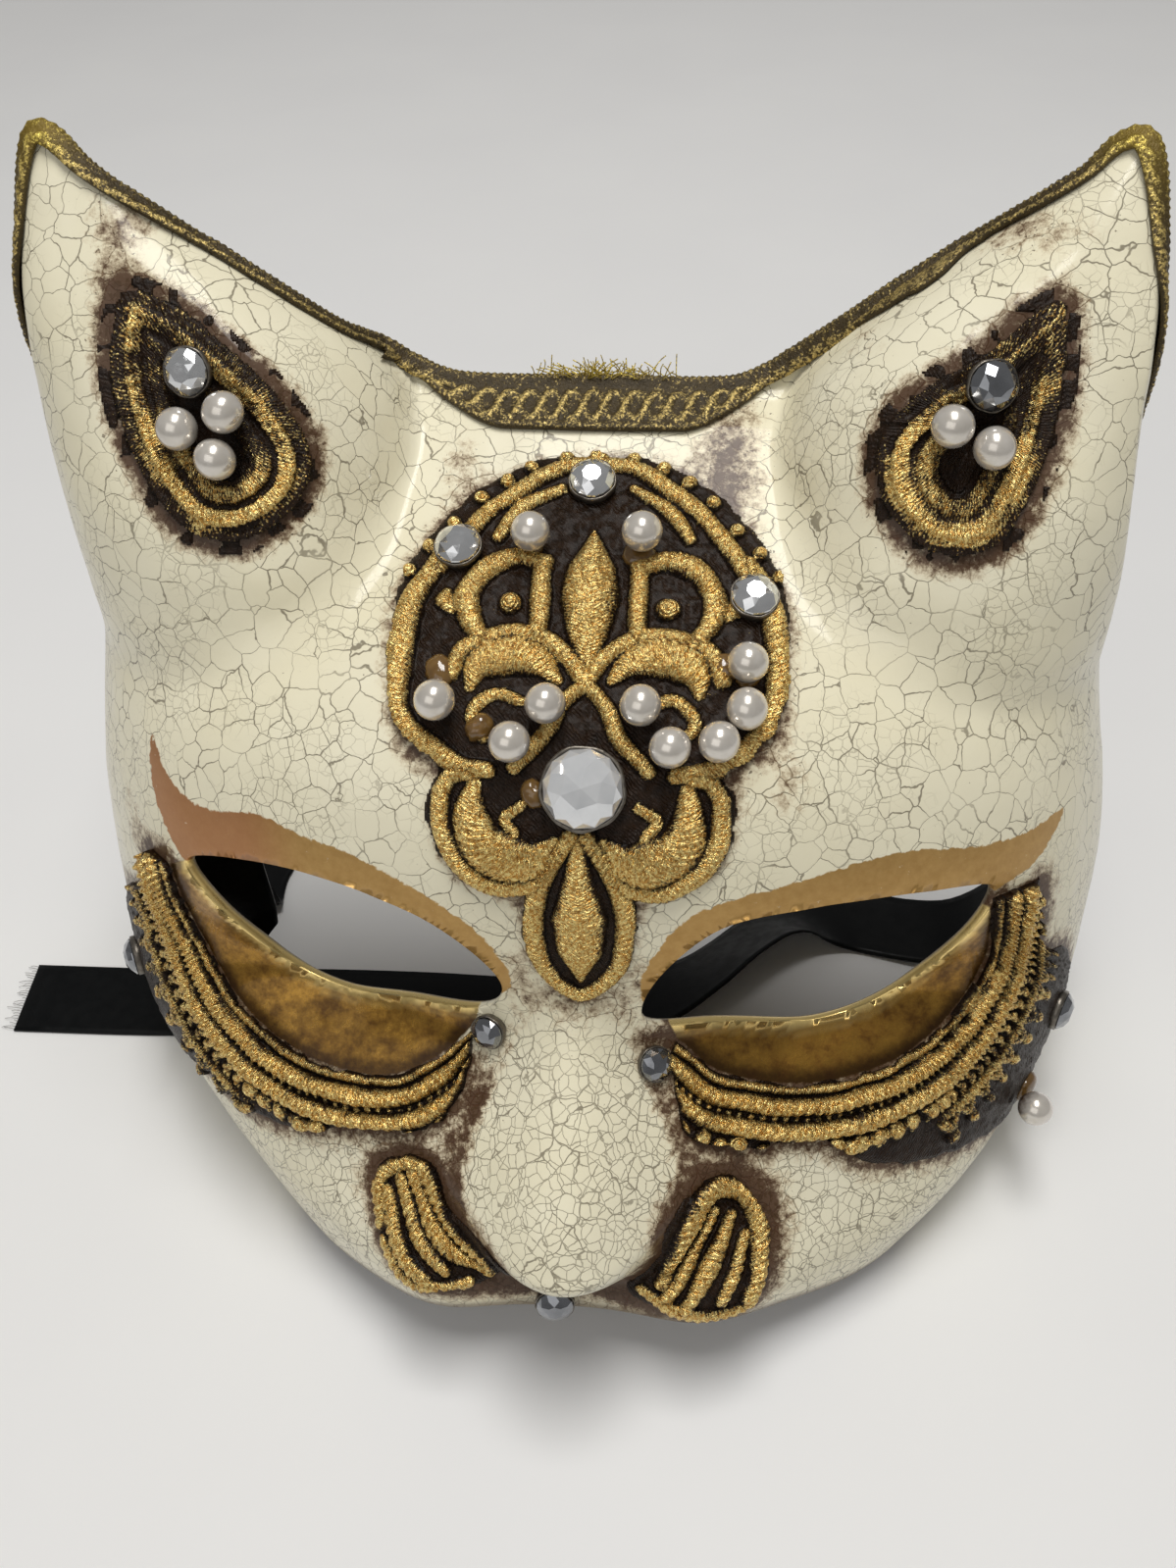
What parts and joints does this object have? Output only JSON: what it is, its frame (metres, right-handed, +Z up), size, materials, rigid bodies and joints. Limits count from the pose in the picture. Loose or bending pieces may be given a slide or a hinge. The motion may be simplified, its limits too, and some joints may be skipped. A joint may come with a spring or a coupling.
{
  "type": "cat masquerade half mask",
  "caption": "Cat half mask with pointed ears, moulded lacquered paper shell, gilt lace, glued crystals and pearls, gold braid edge and black satin tie ribbons.",
  "frame": {"origin": "middle of the mask's box, without its ribbons, at the height of the surface that it stands on", "axes": "+X to the wearer's left (right in a front view), +Y from the nose back to the wearer's face, +Z up; the mask leans back 22 degrees on its lower edge"},
  "size_m": [0.204, 0.1447, 0.1588],
  "materials": {
    "lacquer": "glossy crackle lacquer with gold leaf patches",
    "gimp": "antique gold braid",
    "gilt": "dark bitumen with rubbed gold",
    "crystal": "faceted, foil backed",
    "pearl": "pearlescent",
    "satin": "black satin"
  },
  "bodies": {
    "root": {"mask_shell": "lacquer", "edge_braid": "gimp", "crest_lace": "gilt", "ear_lace_left": "gilt", "ear_lace_right": "gilt", "eye_lace_left": "gilt", "eye_lace_right": "gilt", "muzzle_lace_left": "gilt", "muzzle_lace_right": "gilt", "crystal_crest_top": "crystal", "crystal_crest_left": "crystal", "crystal_crest_right": "crystal", "crystal_crest_centre": "crystal", "crystal_ear_left": "crystal", "crystal_ear_right": "crystal", "crystal_temple_left": "crystal", "crystal_temple_right": "crystal", "crystal_eye_left": "crystal", "crystal_eye_right": "crystal", "crystal_under_nose": "crystal", "pearl_crest_1": "pearl", "pearl_crest_2": "pearl", "pearl_crest_3": "pearl", "pearl_crest_4": "pearl", "pearl_crest_5": "pearl", "pearl_crest_6": "pearl", "pearl_crest_7": "pearl", "pearl_crest_8": "pearl", "pearl_crest_9": "pearl", "pearl_crest_10": "pearl", "pearl_ear_1": "pearl", "pearl_ear_2": "pearl", "pearl_ear_3": "pearl", "pearl_ear_4": "pearl", "pearl_ear_5": "pearl", "pearl_cheek": "pearl", "ribbon_left": "satin", "ribbon_right": "satin"}
  },
  "joints": []
}
